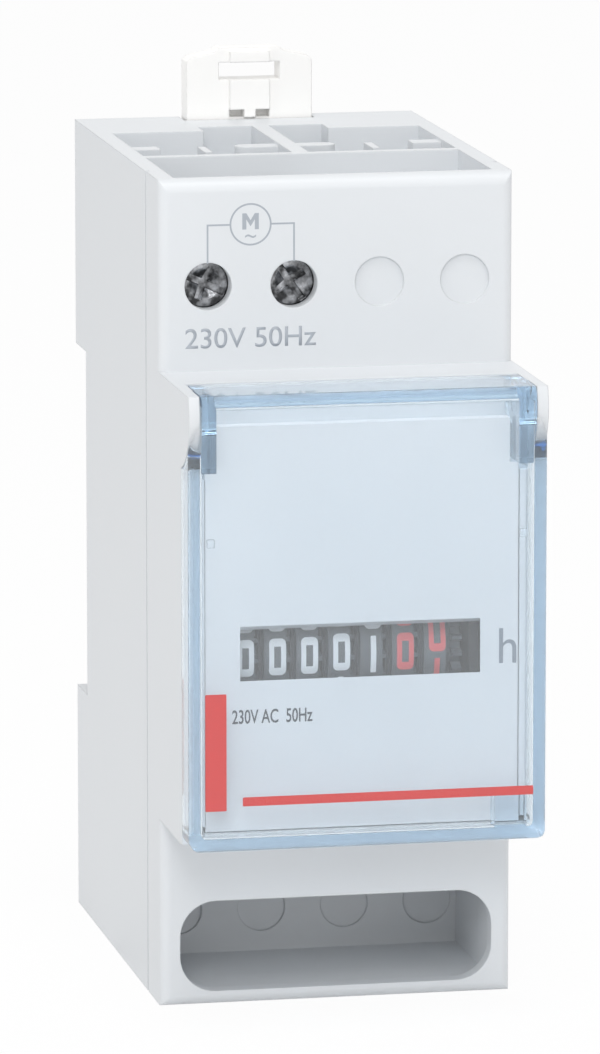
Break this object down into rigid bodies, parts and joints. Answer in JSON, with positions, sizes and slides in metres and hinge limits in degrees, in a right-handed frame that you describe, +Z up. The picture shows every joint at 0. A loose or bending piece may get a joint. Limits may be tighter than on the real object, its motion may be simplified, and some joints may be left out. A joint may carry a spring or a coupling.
{
  "type": "hour meter",
  "caption": "Rail-mounted hour meter with number drums behind a clear hinged cover, screw terminals at the top and a sliding rail clip.",
  "frame": {"origin": "middle of the rail seat: on the front plane of the rail's flanges, at the rail's centre line, mid width", "axes": "+X along the rail to the reader's right, -Y out of the dial towards the reader, +Z up"},
  "size_m": [0.0356, 0.064, 0.0904],
  "materials": {
    "housing": "fine satin, light grey",
    "dial": "satin white",
    "cover": "clear, faintly blue",
    "clip": "satin white",
    "screw_steel": "zinc, dull",
    "cage_steel": "zinc, dull",
    "brass": "plain",
    "lead": "insulated",
    "frame": "black",
    "shaft_steel": "ground",
    "gear": "natural acetal",
    "motor_steel": "tinned sheet",
    "drum": "black, printed digits"
  },
  "bodies": {
    "housing": {"base_housing": "housing", "front_shell": "housing", "dial_plate": "dial", "terminal_tag_left": "brass", "terminal_tag_right": "brass", "frame_plate_left": "frame", "frame_plate_right": "frame", "frame_pillars": "shaft_steel", "drum_shaft": "shaft_steel", "pinion_shaft": "shaft_steel", "motor_can": "motor_steel", "motor_flange": "motor_steel", "motor_screws": "shaft_steel", "coil_terminal": "frame", "lead_wire_left": "lead", "lead_wire_right": "lead"},
    "cover": {"clear_cover": "cover"},
    "clip": {"rail_clip": "clip"},
    "screw_left": {"terminal_screw_left": "screw_steel"},
    "cage_left": {"terminal_cage_left": "cage_steel"},
    "screw_right": {"terminal_screw_right": "screw_steel"},
    "cage_right": {"terminal_cage_right": "cage_steel"},
    "drum_hundredths": {"drum_hundredths": "drum"},
    "drum_tenths": {"drum_tenths": "drum"},
    "drum_1h": {"drum_1h": "drum"},
    "drum_10h": {"drum_10h": "drum"},
    "drum_100h": {"drum_100h": "drum"},
    "drum_1000h": {"drum_1000h": "drum"},
    "drum_10000h": {"drum_10000h": "drum"},
    "transfer_pinion_1": {"transfer_pinion_1": "gear"},
    "transfer_pinion_2": {"transfer_pinion_2": "gear"},
    "transfer_pinion_3": {"transfer_pinion_3": "gear"},
    "transfer_pinion_4": {"transfer_pinion_4": "gear"},
    "transfer_pinion_5": {"transfer_pinion_5": "gear"},
    "transfer_pinion_6": {"transfer_pinion_6": "gear"},
    "intermediate_gear": {"intermediate_gear": "gear"},
    "motor_pinion": {"motor_pinion": "brass"}
  },
  "joints": [
    {"name": "cover_hinge", "type": "hinge", "parent": "housing", "child": "cover", "pos_m": [0, -0.0544, 0.0203], "axis": [-1, 0, 0], "range_deg": [0, 90]},
    {"name": "clip_slide", "type": "slide", "parent": "housing", "child": "clip", "axis": [0, 0, 1], "range_m": [0, 0.004]},
    {"name": "cage_left_slide", "type": "slide", "parent": "housing", "child": "cage_left", "axis": [0, -1, 0], "range_m": [0, 0.0042]},
    {"name": "screw_left_turn", "type": "hinge", "parent": "housing", "child": "screw_left", "pos_m": [-0.0129, -0.041, 0.0309], "axis": [0, 1, 0], "range_deg": [0, 2520]},
    {"name": "cage_right_slide", "type": "slide", "parent": "housing", "child": "cage_right", "axis": [0, -1, 0], "range_m": [0, 0.0042]},
    {"name": "screw_right_turn", "type": "hinge", "parent": "housing", "child": "screw_right", "pos_m": [-0.0043, -0.041, 0.0309], "axis": [0, 1, 0], "range_deg": [0, 2520]},
    {"name": "drum_hundredths_spin", "type": "hinge", "parent": "housing", "child": "drum_hundredths", "pos_m": [0, -0.046, -0.0045], "axis": [-1, 0, 0], "continuous": true},
    {"name": "drum_tenths_spin", "type": "hinge", "parent": "housing", "child": "drum_tenths", "pos_m": [0, -0.046, -0.0045], "axis": [-1, 0, 0], "continuous": true},
    {"name": "drum_1h_spin", "type": "hinge", "parent": "housing", "child": "drum_1h", "pos_m": [0, -0.046, -0.0045], "axis": [-1, 0, 0], "continuous": true},
    {"name": "drum_10h_spin", "type": "hinge", "parent": "housing", "child": "drum_10h", "pos_m": [0, -0.046, -0.0045], "axis": [-1, 0, 0], "continuous": true},
    {"name": "drum_100h_spin", "type": "hinge", "parent": "housing", "child": "drum_100h", "pos_m": [0, -0.046, -0.0045], "axis": [-1, 0, 0], "continuous": true},
    {"name": "drum_1000h_spin", "type": "hinge", "parent": "housing", "child": "drum_1000h", "pos_m": [0, -0.046, -0.0045], "axis": [-1, 0, 0], "continuous": true},
    {"name": "drum_10000h_spin", "type": "hinge", "parent": "housing", "child": "drum_10000h", "pos_m": [0, -0.046, -0.0045], "axis": [-1, 0, 0], "continuous": true},
    {"name": "transfer_pinion_1_spin", "type": "hinge", "parent": "housing", "child": "transfer_pinion_1", "pos_m": [0, -0.0406, -0.01093], "axis": [-1, 0, 0], "continuous": true},
    {"name": "transfer_pinion_2_spin", "type": "hinge", "parent": "housing", "child": "transfer_pinion_2", "pos_m": [0, -0.0406, -0.01093], "axis": [-1, 0, 0], "continuous": true},
    {"name": "transfer_pinion_3_spin", "type": "hinge", "parent": "housing", "child": "transfer_pinion_3", "pos_m": [0, -0.0406, -0.01093], "axis": [-1, 0, 0], "continuous": true},
    {"name": "transfer_pinion_4_spin", "type": "hinge", "parent": "housing", "child": "transfer_pinion_4", "pos_m": [0, -0.0406, -0.01093], "axis": [-1, 0, 0], "continuous": true},
    {"name": "transfer_pinion_5_spin", "type": "hinge", "parent": "housing", "child": "transfer_pinion_5", "pos_m": [0, -0.0406, -0.01093], "axis": [-1, 0, 0], "continuous": true},
    {"name": "transfer_pinion_6_spin", "type": "hinge", "parent": "housing", "child": "transfer_pinion_6", "pos_m": [0, -0.0406, -0.01093], "axis": [-1, 0, 0], "continuous": true},
    {"name": "intermediate_gear_spin", "type": "hinge", "parent": "housing", "child": "intermediate_gear", "pos_m": [0, -0.0366, -0.00108], "axis": [-1, 0, 0], "continuous": true},
    {"name": "motor_pinion_spin", "type": "hinge", "parent": "housing", "child": "motor_pinion", "pos_m": [0, -0.02459, 0.00237], "axis": [-1, 0, 0], "continuous": true}
  ],
  "couplings": [
    {"joint": "screw_left_turn", "follows": "cage_left_slide", "rad_per_m": 10472},
    {"joint": "screw_right_turn", "follows": "cage_right_slide", "rad_per_m": 10472},
    {"joint": "drum_tenths_spin", "follows": "drum_hundredths_spin", "ratio": 0.1},
    {"joint": "drum_1h_spin", "follows": "drum_hundredths_spin", "ratio": 0.01},
    {"joint": "drum_10h_spin", "follows": "drum_hundredths_spin", "ratio": 0.001},
    {"joint": "drum_100h_spin", "follows": "drum_hundredths_spin", "ratio": 0.0001},
    {"joint": "drum_1000h_spin", "follows": "drum_hundredths_spin", "ratio": 0.00001},
    {"joint": "drum_10000h_spin", "follows": "drum_hundredths_spin", "ratio": 0.000001},
    {"joint": "transfer_pinion_1_spin", "follows": "drum_hundredths_spin", "ratio": -0.0000025},
    {"joint": "transfer_pinion_2_spin", "follows": "drum_hundredths_spin", "ratio": -0.000025},
    {"joint": "transfer_pinion_3_spin", "follows": "drum_hundredths_spin", "ratio": -0.00025},
    {"joint": "transfer_pinion_4_spin", "follows": "drum_hundredths_spin", "ratio": -0.0025},
    {"joint": "transfer_pinion_5_spin", "follows": "drum_hundredths_spin", "ratio": -0.025},
    {"joint": "transfer_pinion_6_spin", "follows": "drum_hundredths_spin", "ratio": -0.25},
    {"joint": "intermediate_gear_spin", "follows": "drum_hundredths_spin", "ratio": -1.5},
    {"joint": "motor_pinion_spin", "follows": "drum_hundredths_spin", "ratio": 6}
  ]
}
